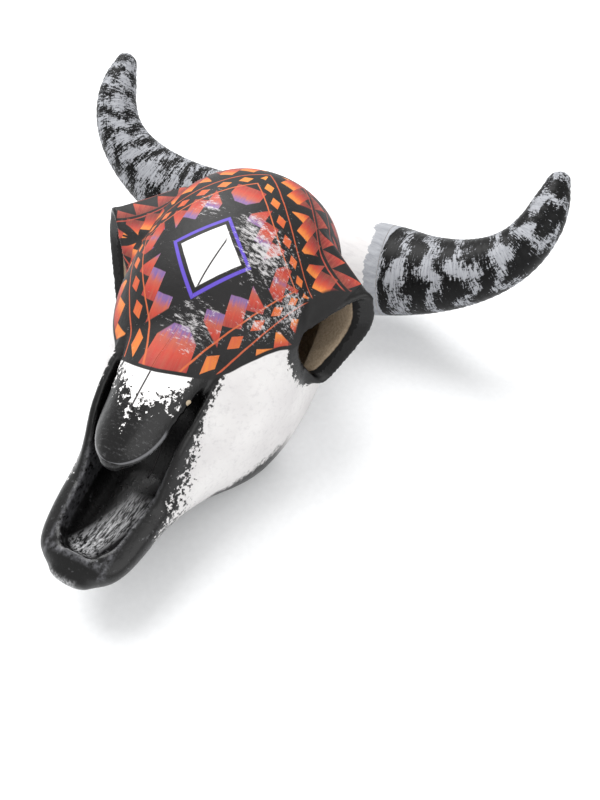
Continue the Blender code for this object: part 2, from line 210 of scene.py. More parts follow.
head = {
    # y, half width, top, height of the widest point, underside, squareness of the lower half
    "stations": (
        (-0.159, 0.013, 0.043, 0.037, 0.029, 2.0),
        (-0.154, 0.021, 0.047, 0.04, 0.025, 2.0),
        (-0.148, 0.0252, 0.049, 0.0415, 0.023, 2.0),
        (-0.139, 0.028, 0.051, 0.043, 0.0205, 2.0),
        (-0.127, 0.03, 0.054, 0.045, 0.0185, 2.0),
        (-0.114, 0.0315, 0.057, 0.0465, 0.016, 2.1),
        (-0.1, 0.0345, 0.061, 0.047, 0.012, 2.3),
        (-0.086, 0.0385, 0.068, 0.047, 0.007, 2.6),
        (-0.074, 0.0425, 0.078, 0.046, 0.0025, 3.2),
        (-0.062, 0.0475, 0.091, 0.045, -0.001, 4.2),
        (-0.05, 0.0525, 0.105, 0.045, -0.002, 5.5),
        (-0.038, 0.0565, 0.118, 0.05, -0.002, 6.5),
        (-0.018, 0.061, 0.134, 0.06, -0.002, 6.5),
        (0.007, 0.0625, 0.145, 0.07, -0.002, 6.5),
        (0.032, 0.062, 0.1495, 0.082, -0.002, 6.0),
        (0.055, 0.0585, 0.148, 0.085, -0.002, 5.0),
        (0.075, 0.051, 0.14, 0.085, -0.002, 4.5),
        (0.092, 0.042, 0.124, 0.08, 0.002, 3.8),
        (0.104, 0.033, 0.106, 0.072, 0.012, 3.0),
    ),
    "caps": (0.004, 0.012),
    "crownPower": 2.15,
    "voxel": 0.00115,
    "mostTriangles": 185000,
    "pollMiddle": Vector((0.0, 0.108, 0.058)),
    "pollRadii": Vector((0.036, 0.038, 0.042)),
    "step": 0.003,
    "ringPoints": 128,
    # rounds of smoothing: first forms, all forms joined, after the hollow is cut
    "smoothing": (1, 2, 8),
    "shell": 0.007,
    "hollowFront": -0.033,
    "hollowBack": 0.088,
    "hollowCaps": (0.006, 0.008),
    # opposite corners of the boxes that cut the channel, the flat underside and the muzzle
    "palate": ((-0.015, -0.06, -0.01), (0.015, 0.07, 0.005)),
    "underTable": ((-0.1, -0.2, -0.05), (0.1, 0.2, 0.0)),
    "frontBox": ((-0.2, -0.3, -0.1), (0.2, -0.045, 0.3)),
    # raw clay: how deep under the uncut surface and how far forward it starts
    "clayDepth": 0.0038,
    "clayFront": -0.045,
}


def headForm(name, first, last, inset, caps):
    rings = []
    for y in stepsBetween(first, last, head["step"]):
        half, top, middle, bottom, base = stationAt(head["stations"], y)
        rings.append(section(y, half - inset, top - inset, middle, bottom + inset,
                             head["crownPower"], base, head["ringPoints"]))
    return loft(name, capped(rings, *caps))


def pollForm():
    # the bulge at the back between the horns
    bm = bmesh.new()
    bmesh.ops.create_uvsphere(bm, u_segments=64, v_segments=32, radius=1.0)
    for vertex in bm.verts:
        vertex.co = vertex.co * head["pollRadii"] + head["pollMiddle"]
    return objectFrom(bm, "poll")


nasal = {
    # y, half width, height of the crest
    "stations": (
        (-0.1118, 0.0055, 0.0812),
        (-0.11, 0.0086, 0.0832),
        (-0.106, 0.0128, 0.086),
        (-0.1, 0.0165, 0.0896),
        (-0.093, 0.019, 0.0932),
        (-0.083, 0.0205, 0.0979),
        (-0.066, 0.0237, 0.1042),
        (-0.052, 0.0268, 0.1095),
        (-0.035, 0.03, 0.118),
    ),
    "arch": 0.0095,
    "archHalf": 0.02,
    "thickness": 0.0085,
    "tipCap": 0.0022,
    "edgePower": 0.7,
    "step": 0.002,
    "sidePoints": 24,
}


def nasalForm():
    rings = []
    side = nasal["sidePoints"]
    rim = 0.5 * nasal["thickness"]
    for y in stepsBetween(nasal["stations"][0][0], nasal["stations"][-1][0], nasal["step"]):
        half, crest = stationAt(nasal["stations"], y)
        arch = nasal["arch"] * min(half / nasal["archHalf"], 1.0) ** 2
        ring = []
        for k in range(2 * side):
            angle = math.pi * k / side
            u = math.cos(angle)
            v = math.sin(angle)
            edge = rim * math.copysign(abs(v) ** nasal["edgePower"], v)
            ring.append((half * u, y, crest - rim - arch * u * u + edge))
        rings.append(ring)
    return loft("nasal", capped(rings, nasal["tipCap"], 0.0))


trough = {
    # y, half width, floor height, roof height
    "stations": (
        (-0.146, 0.011, 0.039, 0.12),
        (-0.139, 0.016, 0.035, 0.12),
        (-0.125, 0.0185, 0.031, 0.12),
        (-0.105, 0.0212, 0.029, 0.12),
        (-0.085, 0.0235, 0.03, 0.12),
        (-0.072, 0.0245, 0.04, 0.105),
        (-0.06, 0.0245, 0.062, 0.095),
    ),
    "cap": 0.005,
    "step": 0.0025,
    "ringPoints": 72,
    # squareness of the upper and the lower half, height of the widest point in half widths
    "powers": (6.0, 2.2),
    "belly": 0.6,
    # y, x of the wall's crest, height of the crest, x of the foot
    "walls": (
        (-0.12, 0.0235, 0.05, 0.03),
        (-0.11, 0.024, 0.0575, 0.0315),
        (-0.098, 0.0255, 0.069, 0.034),
        (-0.088, 0.027, 0.079, 0.0365),
        (-0.074, 0.029, 0.087, 0.041),
        (-0.06, 0.03, 0.093, 0.046),
        (-0.046, 0.031, 0.099, 0.05),
    ),
    "crest": 0.0032,
    "foot": 0.048,
    # the wall's rounded crest from inside to outside and the swell below it, in crest radii
    "crestTurn": ((-1.0, -1.0), (-0.6, -0.3), (0.0, 0.0), (0.7, -0.4)),
    "swell": 0.4,
}


def troughForm():
    rings = []
    for y in stepsBetween(trough["stations"][0][0], trough["stations"][-1][0], trough["step"]):
        half, floor, roof = stationAt(trough["stations"], y)
        rings.append(section(y, half, roof, floor + trough["belly"] * half, floor,
                             *trough["powers"], trough["ringPoints"]))
    return loft("trough", capped(rings, trough["cap"], trough["cap"]))


def wallForm(side):
    rings = []
    r = trough["crest"]
    foot = trough["foot"]
    for y in stepsBetween(trough["walls"][0][0], trough["walls"][-1][0], trough["step"]):
        crestX, crestZ, footX = stationAt(trough["walls"], y)
        profile = [(crestX - r, foot)]
        profile += [(crestX + u * r, crestZ + v * r) for u, v in trough["crestTurn"]]
        profile += [(0.5 * (crestX + footX) + trough["swell"] * r, 0.5 * (crestZ + foot)), (footX, foot)]
        rings.append([(side * x, y, z) for x, z in profile])
    return loft("wall", rings)


socket = {
    # front roof, back roof, back floor and front floor of the hole, then of the flare's root
    "hole": (
        Vector((0.057, -0.005, 0.092)),
        Vector((0.083, 0.025, 0.1105)),
        Vector((0.087, 0.0225, 0.0915)),
        Vector((0.074, 0.0015, 0.065)),
    ),
    "root": (
        Vector((0.03, -0.03, 0.108)),
        Vector((0.045, 0.054, 0.132)),
        Vector((0.05, 0.05, 0.07)),
        Vector((0.045, -0.02, 0.04)),
    ),
    # from the outside in: depth, then how much wider than the hole the flare and the hole are there
    "rimSteps": ((-0.001, 0.006375), (0.001, 0.008075), (0.004, 0.0085)),
    "eyeSteps": ((-0.012, 0.0075), (0.0, 0.0036), (0.0075, 0.0), (0.0115, 0.002)),
    "rootWall": 0.0105,
    "ringPoints": 72,
    "power": 4.5,
    "reach": 1.1,
    "inward": Vector((-1.0, 0.0, -0.05)),
    "offset": -0.002,
    # paint: middle of the hole for the black round it and for the clay in it, the way its plane faces
    "paintMiddle": (0.074, 0.012, 0.088),
    "clayMiddle": (0.0754, 0.011, 0.0898),
    "facing": (-0.66, 0.715, -0.24),
    "clayDepth": 0.0056,
}


def cornerRing(corners, grow, shift, side):
    middle = sum(corners, Vector()) / 4
    wide = [c + (c - middle).normalized() * grow + shift for c in corners]
    ring = []
    for k in range(socket["ringPoints"]):
        u, v = powerWave(2 * math.pi * k / socket["ringPoints"], socket["power"])
        u = 0.5 + 0.5 * u * socket["reach"]
        v = 0.5 + 0.5 * v * socket["reach"]
        p = wide[3].lerp(wide[2], u).lerp(wide[0].lerp(wide[1], u), v)
        ring.append((side * p.x + socket["offset"], p.y, p.z))
    return ring


def flareForm(name, steps, rootGrow, side):
    rings = [cornerRing(socket["hole"], grow, socket["inward"] * depth, side) for depth, grow in steps]
    rings.append(cornerRing(socket["root"], rootGrow, Vector(), side))
    return loft(name, rings)


def socketForm(side):
    return flareForm("socket", socket["rimSteps"], 0.0, side)


def eyeForm(side):
    return flareForm("eyeHole", socket["eyeSteps"], -socket["rootWall"], side)


horn = {
    # centre line from inside the cranium to the tip, with its radius
    "stations": (
        (0.0000, 0.11, 0.056, 0.035),
        (0.04, 0.123, 0.05, 0.035),
        (0.0727, 0.1301, 0.0518, 0.0333),
        (0.0991, 0.1238, 0.0632, 0.0281),
        (0.1227, 0.1211, 0.0759, 0.0234),
        (0.1409, 0.1226, 0.0892, 0.0197),
        (0.1531, 0.1285, 0.1026, 0.0168),
        (0.1594, 0.1383, 0.1161, 0.0144),
        (0.1607, 0.149, 0.1276, 0.0117),
        (0.1602, 0.1574, 0.1362, 0.008),
    ),
    "root": 2.0,
    "out": (0.976, 0.013, 0.218),
    "step": 0.125,
    "ringPoints": 64,
    "tipAngles": (0.3, 0.6, 0.85, 1.1, 1.3, 1.45),
    # opposite corners of the box that parts a horn from the head, in the horn's own directions
    "box": ((0.0, -0.05, -0.09), (0.18, 0.08, 0.09)),
    # centre line for the paint: how far before the root it starts, its step, points skipped at first
    "before": 0.5,
    "lineStep": 0.02,
    "skip": 8,
    "ringDepth": 0.00012,
    "ringSpacing": 0.0042,
}


def hornAt(t, side):
    rows = horn["stations"]
    k = min(int(t), len(rows) - 2)
    counts = list(range(len(rows)))
    x, y, z, r = [hermite([row[c] for row in rows], counts, k, t - k) for c in range(4)]
    return Vector((side * x, y, z)), r


def hornDirection(t, side, near=0.05):
    last = len(horn["stations"]) - 1
    return (hornAt(min(t + near, last), side)[0] - hornAt(max(t - near, 0), side)[0]).normalized()


def hornForm(side):
    rings = []
    last = len(horn["stations"]) - 1.0
    for t in stepsBetween(0.0, last, horn["step"]):
        centre, radius = hornAt(t, side)
        along = hornDirection(t, side)
        caps = [(0.0, 1.0)]
        if t == last:
            caps += [(radius * math.sin(a), math.cos(a)) for a in horn["tipAngles"]]
        u = Vector((0, 1, 0)).cross(along).normalized()
        v = along.cross(u)
        for shift, grow in caps:
            ring = []
            for k in range(horn["ringPoints"]):
                angle = 2 * math.pi * k / horn["ringPoints"]
                spoke = u * math.cos(angle) + v * math.sin(angle)
                ring.append(tuple(centre + along * shift + spoke * radius * grow))
            rings.append(ring)
    return loft("horn", rings)


def hornBox(side):
    # all that lies beyond the face where a horn starts: along it, towards the poll and across
    centre = hornAt(horn["root"], side)[0]
    along = hornDirection(horn["root"], side)
    back = (Vector((0, 1, 0)) - along * along.y).normalized()
    across = along.cross(back)
    item = block("hornBox", *horn["box"])
    for vertex in item.data.vertices:
        vertex.co = centre + along * vertex.co.x + back * vertex.co.y + across * vertex.co.z
    bm = bmesh.new()
    bm.from_mesh(item.data)
    bmesh.ops.recalc_face_normals(bm, faces=bm.faces)
    bm.to_mesh(item.data)
    bm.free()
    return item


# Paint tools: each call adds a node and returns its output

def paint(code):
    # a colour as seen, such as d8583f, as the linear values a shader takes
    values = [int(code[k:k + 2], 16) / 255 for k in (0, 2, 4)]
    return tuple(v / 12.92 if v < 0.04045 else ((v + 0.055) / 1.055) ** 2.4 for v in values) + (1.0,)


class Finish:
    def __init__(self, name, gloss=0.35):
        self.material = bpy.data.materials.new(name)
        self.material.use_nodes = True
        self.tree = self.material.node_tree
        self.shader = self.tree.nodes["Principled BSDF"]
        self.shader.inputs["Specular IOR Level"].default_value = gloss

    def put(self, node, slot, value):
        if isinstance(value, bpy.types.NodeSocket):
            self.tree.links.new(value, node.inputs[slot])
        else:
            node.inputs[slot].default_value = value

    def node(self, kind, slots=()):
        node = self.tree.nodes.new("ShaderNode" + kind)
        for slot, value in slots:
            self.put(node, slot, value)
        return node

    def math(self, operation, *values):
        node = self.node("Math", enumerate(values))
        node.operation = operation
        return node.outputs[0]

    def folded(self, operation, values):
        total = values[0]
        for value in values[1:]:
            total = self.math(operation, total, value)
        return total

    def add(self, *values):
        return self.folded("ADD", values)

    def both(self, *masks):
        return self.folded("MINIMUM", masks)

    def either(self, *masks):
        return self.folded("MAXIMUM", masks)

    def sub(self, a, b):
        return self.math("SUBTRACT", a, b)

    def mul(self, a, b):
        return self.math("MULTIPLY", a, b)

    def divide(self, a, b):
        return self.math("DIVIDE", a, b)

    def size(self, a):
        return self.math("ABSOLUTE", a)

    def length(self, *values):
        return self.math("SQRT", self.add(*[self.mul(value, value) for value in values]))

    def around(self, noise, amount):
        # noise moved to lie round zero, times an amount
        return self.mul(self.sub(noise, 0.5), amount)

    def less(self, mask):
        return self.sub(1.0, mask)

    def edge(self, value, soft=0.00025):
        # 0 below zero, 1 above it, with a soft step between
        node = self.node("MapRange", (("Value", value), ("From Min", -soft), ("From Max", soft)))
        node.interpolation_type = "SMOOTHSTEP"
        return node.outputs["Result"]

    def over(self, value, limit, *soft):
        return self.edge(self.sub(value, limit), *soft)

    def under(self, value, limit, *soft):
        return self.edge(self.sub(limit, value), *soft)

    def ramped(self, value, low, high, first=0.0, last=1.0):
        slots = (("Value", value), ("From Min", low), ("From Max", high), ("To Min", first), ("To Max", last))
        return self.node("MapRange", slots).outputs["Result"]

    def place(self):
        return self.node("TexCoord").outputs["Object"]

    def parts(self, vector):
        return self.node("SeparateXYZ", ((0, vector),)).outputs[:3]

    def vector(self, x, y, z):
        return self.node("CombineXYZ", enumerate((x, y, z))).outputs[0]

    def noise(self, vector, scale, detail, rough):
        slots = (("Vector", vector), ("Scale", scale), ("Detail", detail), ("Roughness", rough))
        return self.node("TexNoise", slots).outputs["Fac"]

    def stretched(self, vector, factors, detail, rough):
        moved = self.node("Mapping", (("Vector", vector), ("Scale", factors)))
        return self.noise(moved.outputs[0], 1.0, detail, rough)

    def mixed(self, mask, a, b):
        node = self.node("Mix")
        node.data_type = "RGBA"
        for slot, value in ((0, mask), (6, a), (7, b)):
            self.put(node, slot, value)
        return node.outputs[2]

    def blend(self, value, stops):
        node = self.node("ValToRGB", ((0, value),))
        steps = node.color_ramp.elements
        while len(steps) < len(stops):
            steps.new(0.5)
        for step, (position, code) in zip(steps, stops):
            step.position = position
            step.color = paint(code)
        return node.outputs[0]

    def bumped(self, height, distance, strength):
        node = self.node("Bump", (("Height", height), ("Strength", strength), ("Distance", distance)))
        self.put(self.shader, "Normal", node.outputs[0])

    def done(self, colour, roughness):
        self.put(self.shader, "Base Color", colour)
        self.put(self.shader, "Roughness", roughness)
        return self.material


colours = {
    "white": "f2f0ef",
    "cheek": "dcdad9",
    "cheekShade": "cbc8c8",
    "stroke": "aeabad",
    "black": "090808",
    "blackGrey": "171516",
    "muzzleBlack": "060606",
    "muzzleGrey": "121112",
    "worn": "c9c6c7",
    "clay": "b3a088",
    "clayDark": "93816c",
    "chip": "b9a88f",
    "groove": "2b2829",
    "violet": "5b46b4",
    "streak": "f2b27c",
    "rimWear": "6f6f72",
    "rubbed": "8a8a8c",
    # the next two are painted highlights: the line round the nasal tip and the sheen on the trough's rim
    "paintedTipHighlight": "77777a",
    "paintedRimSheen": "66666a",
    "floorWear": "cfcfd1",
    "silver": "888a8f",
    "silverLight": "a9abb0",
    "hornBlack": "040404",
    "hornGrey": "101011",
}

grains = {
    # noise: scale, detail, roughness
    "coarse": (95.0, 5.0, 0.6),
    "speck": (420.0, 3.0, 0.65),
    "fine": (1500.0, 2.0, 0.6),
    "cloud": (28.0, 3.0, 0.5),
    "clay": (700.0, 5.0, 0.6),
    "clayCloud": (60.0, 3.0, 0.5),
    "hornSpeck": (600.0, 3.0, 0.6),
    # noise drawn out by the brush: a scale each way, detail, roughness
    "front": ((260.0, 90.0, 120.0), 5.0, 0.7),
    "strokes": ((950.0, 70.0, 70.0), 4.0, 0.7),
    "worn": ((190.0, 620.0, 420.0), 6.0, 0.8),
    "swirl": ((70.0, 330.0, 330.0), 5.0, 0.65),
    "bristle": ((60.0, 260.0, 260.0), 4.0, 0.75),
    "rubbed": ((300.0, 900.0, 600.0), 5.0, 0.8),
    "floor": ((900.0, 110.0, 500.0), 6.0, 0.75),
}

pattern = {
    # forehead border: how far forward, how it curves back to the sides, off the middle
    "front": -0.0675,
    "curve": 15.0,
    "off": -0.004,
    # its height at the sides: at the front, at the brow, at the back
    "sideY": (-0.06, -0.02, 0.05),
    "sideZ": (0.088, 0.0965, 0.088),
    "wobble": 0.002,
    "blackRim": 0.002,
    # the band pattern: radius and centre of the dome it is laid on, place and size of the reserve
    "radius": 0.068,
    "centre": (0.004, 0.035, 0.08),
    "reserveAt": 0.043,
    "reserveHalf": (0.0165, 0.0175),
    "outline": (1.17, 1.32),
    "step": 0.0085,
    "lean": 0.9,
    "shake": 0.0012,
    # pitch of the repeats along a band, and the share of each that stays black
    "blockPitch": 0.046,
    "blockGap": 0.2,
    # lozenges: pitch, length as a share of it, distance from the middle, slope of their sides
    "rhomb": (0.017, 0.7, 0.0568, 175.0),
    "rhombSpan": 0.08,
    "rhombHues": ((0.2, "d8822f"), (0.5, "b63f22"), (0.8, "cf6c2a")),
    # triangles: pitch, distance from the middle, height
    "tooth": (0.02, 0.0955, 0.016),
    "toothSpan": (0.094, 0.113),
    "toothHues": ((0.1, "64111b"), (0.5, "8b1c21"), (0.9, "ae3823")),
    "streakShare": 0.14,
}

bands = (
    # inner edge, outer edge, stepped or smooth, colours from the inside out
    (0.031, 0.044, True, ("6c528c", "a54a40", "ae2d24", "941f22")),
    (0.049, 0.05, False, ("bb5228", "bb5228")),
    (0.0635, 0.0645, False, ("b24524", "b24524")),
    (0.069, 0.086, True, ("d2762e", "b63a22", "8f1c24", "6a121c")),
    (0.0915, 0.0927, False, ("942622", "942622")),
    (0.114, 0.1153, False, ("831b21", "831b21")),
    (0.12, 0.137, True, ("962225", "7a1720", "520e18")),
    (0.142, 0.1434, False, ("74161e", "74161e")),
)

wearSpots = (
    # place, size and strength of each rubbed spot on the forehead
    (0.03, 0.006, 0.138, 0.026, 1.0),
    (0.052, -0.004, 0.116, 0.022, 1.0),
    (0.018, 0.012, 0.146, 0.018, 1.0),
    (0.01, -0.04, 0.116, 0.022, 0.8),
    (0.04, -0.022, 0.116, 0.018, 0.8),
    (-0.012, 0.02, 0.149, 0.016, 0.7),
)

marks = {
    # black round each socket: its reach in front and behind, the y where it changes, then how far
    # behind the hole's plane the rim is black, left and right, and the reach of that
    "socketReach": (0.0335, 0.042),
    "socketY": (0.004, 0.022),
    "rimDepth": (-0.012, 0.011),
    "rimReach": 0.03,
    # ridge along the trough: half width, its loose border towards the front, its back end
    "ridgeHalf": 0.0318,
    "loose": 0.03,
    "looseY": (-0.12, -0.06),
    "ridgeBack": -0.03,
    # black front behind a slanted border, and the black lower edge
    "slant": 1.2,
    "slantAt": (-0.0935, 0.066),
    "lowTop": 0.0225,
    "lowBack": -0.025,
    # white root of the nasal bone: front end, how it narrows, half width, weight of x on the left, foot
    "rootFront": -0.0875,
    "rootNarrow": 0.95,
    "rootHalf": 0.0195,
    "rootLeft": -0.86,
    "rootLow": 0.084,
    # painted highlight, a thin light line round the nasal tip: back end, length, half width, inset,
    # thickness, ends
    "tipBack": -0.083,
    "tipLong": 0.0292,
    "tipHalf": 0.02,
    "tipInset": 0.0008,
    "tipThick": 0.00035,
    "tipEnds": (-0.087, 0.076),
    # incised line: how far it leans to the right, over which y, half its thickness, its ends
    "grooveLean": 0.0085,
    "grooveY": (-0.06, 0.0),
    "grooveHalf": 0.00045,
    "grooveEnds": (-0.088, 0.002),
    # painted sheen along the rim of the trough: where its sides run and how broad, the same for its end, its
    # limits, and the back end of the worn flecks
    "rimY": (-0.139, -0.105),
    "rimX": (0.0175, 0.0225),
    "rimBroad": 0.0024,
    "rimEnd": -0.1512,
    "rimEndBroad": 0.0026,
    "rimBack": -0.1,
    "rimLow": 0.042,
    "rimEndHalf": 0.015,
    "wearBack": -0.12,
    # worn lane on the trough's floor: half width, way from left to right, height, back end
    "laneHalf": 0.006,
    "laneY": (-0.14, -0.105),
    "laneX": (-0.003, 0.006),
    "laneTop": 0.04,
    "laneBack": -0.104,
    # place and size of the rub on the nasal tip and of the chip
    "tipRub": (0.002, -0.1, 0.089, 0.02),
    "chip": (0.0225, -0.069, 0.0915, 0.0023),
    # silver on the boss: how far it comes, how ragged, where it ends inwards and forwards
    "silverReach": -0.0095,
    "silverRagged": (0.0045, 0.012),
    "silverEnds": (0.045, 0.08),
}


def hue(name):
    return paint(colours[name])


def fromEye(f, x, y, z, middle):
    # how far a point lies from the middle of its eye hole, and how far behind the hole's plane
    dx = f.sub(f.size(f.sub(x, socket["offset"])), middle[0])
    dy = f.sub(y, middle[1])
    dz = f.sub(z, middle[2])
    wayX, wayY, wayZ = socket["facing"]
    return f.length(dx, dy, dz), f.add(f.mul(dx, wayX), f.mul(dy, wayY), f.mul(dz, wayZ))


def skullPaint():
    f = Finish("skullPaint")
    place = f.place()
    x, y, z = f.parts(place)
    wide = f.size(x)
    kinds = ("coarse", "speck", "fine", "cloud")
    coarse, speck, fine, cloud = [f.noise(place, *grains[kind]) for kind in kinds]

    def ragged(value, broad, small, soft=0.0005):
        # an edge broken up by the sponge and the dry brush
        return f.edge(f.add(value, f.around(coarse, broad), f.around(speck, small)), soft)

    def spot(sx, sy, sz, size):
        # 1 at a place on the surface, falling to 0 at a distance
        away = f.length(f.sub(x, sx), f.sub(y, sy), f.sub(z, sz))
        return f.either(f.sub(1.0, f.divide(away, size)), 0.0)

    # painted forehead: metres inside its border, which runs over the nasal root and above the sockets
    off = f.sub(x, pattern["off"])
    fromFront = f.sub(y, f.add(f.mul(f.mul(off, off), pattern["curve"]), pattern["front"]))
    frontY, browY, backY = pattern["sideY"]
    frontZ, browZ, backZ = pattern["sideZ"]
    sideLine = f.both(f.ramped(y, frontY, browY, frontZ, browZ), f.ramped(y, browY, backY, browZ, backZ))
    insideBorder = f.add(f.both(fromFront, f.sub(z, sideLine)), f.around(cloud, pattern["wobble"]))
    forehead = f.edge(insideBorder, 0.0003)
    artShown = f.over(insideBorder, pattern["blackRim"], 0.0003)

    # black round the sockets
    away, behind = fromEye(f, x, y, z, socket["paintMiddle"])
    sockets = ragged(f.sub(f.ramped(y, *marks["socketY"], *marks["socketReach"]), away), 0.014, 0.012)
    rimDepth = f.ramped(x, -0.02, 0.02, *marks["rimDepth"])
    rimBlack = f.both(f.under(behind, rimDepth, 0.0006), f.under(away, marks["rimReach"], 0.001))

    # black muzzle, trough and ridge, dry at its border with the white cheek
    loose = f.ramped(y, *marks["looseY"], marks["loose"], 0.0)
    ridge = ragged(f.add(f.sub(marks["ridgeHalf"], wide), f.around(speck, loose)), 0.006, 0.0065)
    ridge = f.both(ridge, f.under(y, marks["ridgeBack"], 0.002))
    slantY, slantZ = marks["slantAt"]
    slant = f.add(f.mul(f.sub(z, slantZ), marks["slant"]), slantY)
    brushed = f.stretched(place, *grains["front"])
    front = f.edge(f.add(f.sub(slant, y), f.around(brushed, 0.06), f.around(speck, 0.022)), 0.0015)
    low = ragged(f.sub(marks["lowTop"], z), 0.016, 0.016, 0.004)
    low = f.both(low, f.under(y, marks["lowBack"], 0.012))
    muzzle = f.either(ridge, front, low)

    # white root of the nasal bone, sponged out towards its tip
    fromRoot = f.sub(f.sub(y, marks["rootFront"]), f.mul(wide, marks["rootNarrow"]))
    root = ragged(fromRoot, 0.03, 0.05, 0.001)
    rootWide = f.either(x, f.mul(x, marks["rootLeft"]))
    rootSide = ragged(f.sub(marks["rootHalf"], rootWide), 0.006, 0.006)
    root = f.both(root, rootSide, f.over(z, marks["rootLow"], 0.001))
    muzzle = f.both(muzzle, f.less(root))

    # painted highlight: a thin light line round the edge of the nasal bone's tip
    fromTip = f.divide(f.sub(y, marks["tipBack"]), marks["tipLong"])
    outline = f.math("SQRT", f.either(f.sub(1.0, f.mul(fromTip, fromTip)), 0.0))
    outline = f.sub(f.mul(outline, marks["tipHalf"]), marks["tipInset"])
    tipFront, tipLow = marks["tipEnds"]
    paintedTipHighlight = f.both(f.under(f.size(f.sub(wide, outline)), marks["tipThick"], 0.0002),
                     f.under(y, tipFront, 0.002), f.over(z, tipLow, 0.001))

    # coordinates on the forehead: across and along, in metres over the dome
    cx, cy, cz = pattern["centre"]
    py = f.sub(cy, y)
    pz = f.sub(z, cz)
    along = f.mul(f.math("ARCTAN2", py, pz), pattern["radius"])
    across = f.size(f.mul(f.math("ARCTAN2", f.sub(x, cx), f.length(py, pz)), pattern["radius"]))
    fromMiddle = f.size(f.sub(along, pattern["reserveAt"]))

    # coloured bands: stepped diamonds round a pale reserve
    stair = f.mul(f.math("FLOOR", f.divide(across, pattern["step"])), pattern["step"])
    hand = f.around(coarse, pattern["shake"])
    leaning = f.mul(fromMiddle, pattern["lean"])
    stepped = f.add(stair, leaning, hand)
    smooth = f.add(across, leaning, hand)
    turn = f.sub(across, leaning)
    strokes = f.stretched(f.vector(across, along, x), *grains["strokes"])
    streaks = f.ramped(strokes, 0.3, 0.75)

    def band(value, low, high, *soft):
        return f.both(f.over(value, low, *soft), f.under(value, high, *soft))

    def tooth(pitch, shift=0.0):
        # 0 in the middle of each repeat along a band, 1 at its ends
        turns = f.math("FRACT", f.add(f.divide(turn, pitch), shift))
        return f.mul(f.size(f.sub(turns, 0.5)), 2.0)

    ground = f.mixed(f.ramped(cloud, 0.35, 0.7), hue("black"), hue("blackGrey"))
    art = ground
    gap = f.over(tooth(pattern["blockPitch"]), pattern["blockGap"], 0.02)
    coloured = 0.0
    for first, last, steps, hues in bands:
        value = stepped if steps else smooth
        shown = band(value, first, last)
        if steps:
            shown = f.both(shown, gap)
        depth = f.add(f.ramped(value, first, last), f.around(strokes, 0.55))
        shade = f.blend(depth, [((k + 0.5) / len(hues), code) for k, code in enumerate(hues)])
        art = f.mixed(shown, art, shade)
        coloured = f.either(coloured, shown)
    pitch, share, at, slope = pattern["rhomb"]
    rhombs = f.edge(f.sub(f.sub(share, tooth(pitch)), f.size(f.mul(f.sub(smooth, at), slope))), 0.02)
    shade = f.add(f.ramped(turn, -pattern["rhombSpan"], pattern["rhombSpan"]), f.around(strokes, 0.4))
    art = f.mixed(rhombs, art, f.blend(shade, pattern["rhombHues"]))
    pitch, at, tall = pattern["tooth"]
    peak = f.add(at, f.mul(f.less(tooth(pitch, 0.5)), tall))
    teeth = band(smooth, at, peak)
    shade = f.add(f.ramped(smooth, *pattern["toothSpan"]), f.around(strokes, 0.4))
    art = f.mixed(teeth, art, f.blend(shade, pattern["toothHues"]))
    coloured = f.either(coloured, rhombs, teeth)
    art = f.mixed(f.mul(f.both(streaks, coloured), pattern["streakShare"]), art, hue("streak"))

    # pale reserve with its violet outline
    halfAcross, halfAlong = pattern["reserveHalf"]
    inner, outer = pattern["outline"]
    fromReserve = f.add(f.divide(across, halfAcross), f.divide(fromMiddle, halfAlong))
    reserve = f.edge(f.add(f.sub(1.0, fromReserve), f.around(coarse, 0.06)), 0.02)
    ring = band(fromReserve, inner, outer, 0.02)
    art = f.mixed(ring, art, hue("violet"))
    art = f.mixed(f.under(fromReserve, inner, 0.02), art, ground)
    art = f.mixed(reserve, art, hue("white"))

    # incised line along the middle, from the reserve to the nasal root
    lineAt = f.ramped(y, *marks["grooveY"], 0.0, marks["grooveLean"])
    lineFront, lineBack = marks["grooveEnds"]
    groove = f.under(f.size(f.sub(x, lineAt)), marks["grooveHalf"], 0.0002)
    groove = f.both(groove, f.under(y, lineBack, 0.002), f.over(y, lineFront, 0.001))
    grooveDark = f.both(groove, f.either(reserve, f.less(forehead)))

    # white dry-brush wear where the glaze of colour was rubbed
    worn = f.stretched(place, *grains["worn"])
    spots = f.either(*[f.mul(spot(*row[:4]), row[4]) for row in wearSpots])
    wear = f.mul(f.ramped(f.add(worn, f.mul(spots, 0.24)), 0.64, 0.74), 0.85)
    art = f.mixed(f.both(wear, f.less(reserve)), art, hue("worn"))

    # white paint: faint grey strokes that follow the cheek
    swirl = f.stretched(place, *grains["swirl"])
    pale = f.mixed(f.ramped(cloud, 0.35, 0.75), hue("cheek"), hue("cheekShade"))
    pale = f.mixed(f.mul(f.ramped(swirl, 0.52, 0.7), 0.35), pale, hue("stroke"))
    pale = f.mixed(root, pale, hue("white"))

    # silver that runs from each horn onto the end of its boss
    ex, ey, ez = horn["out"]
    rx, ry, rz = horn["stations"][int(horn["root"])][:3]
    pastRoot = f.add(f.mul(f.sub(wide, rx), ex), f.mul(f.sub(y, ry), ey), f.mul(f.sub(z, rz), ez))
    bristle = f.stretched(place, *grains["bristle"])
    raggedBrush, raggedSponge = marks["silverRagged"]
    silverIn, silverFront = marks["silverEnds"]
    onBoss = f.edge(f.add(f.sub(pastRoot, marks["silverReach"]), f.around(bristle, raggedBrush),
                          f.around(coarse, raggedSponge)), 0.0003)
    onBoss = f.both(onBoss, f.over(wide, silverIn, 0.001), f.over(y, silverFront, 0.001))
    boss = f.mixed(f.ramped(bristle, 0.35, 0.7), hue("silver"), hue("silverLight"))
    pale = f.mixed(onBoss, pale, boss)
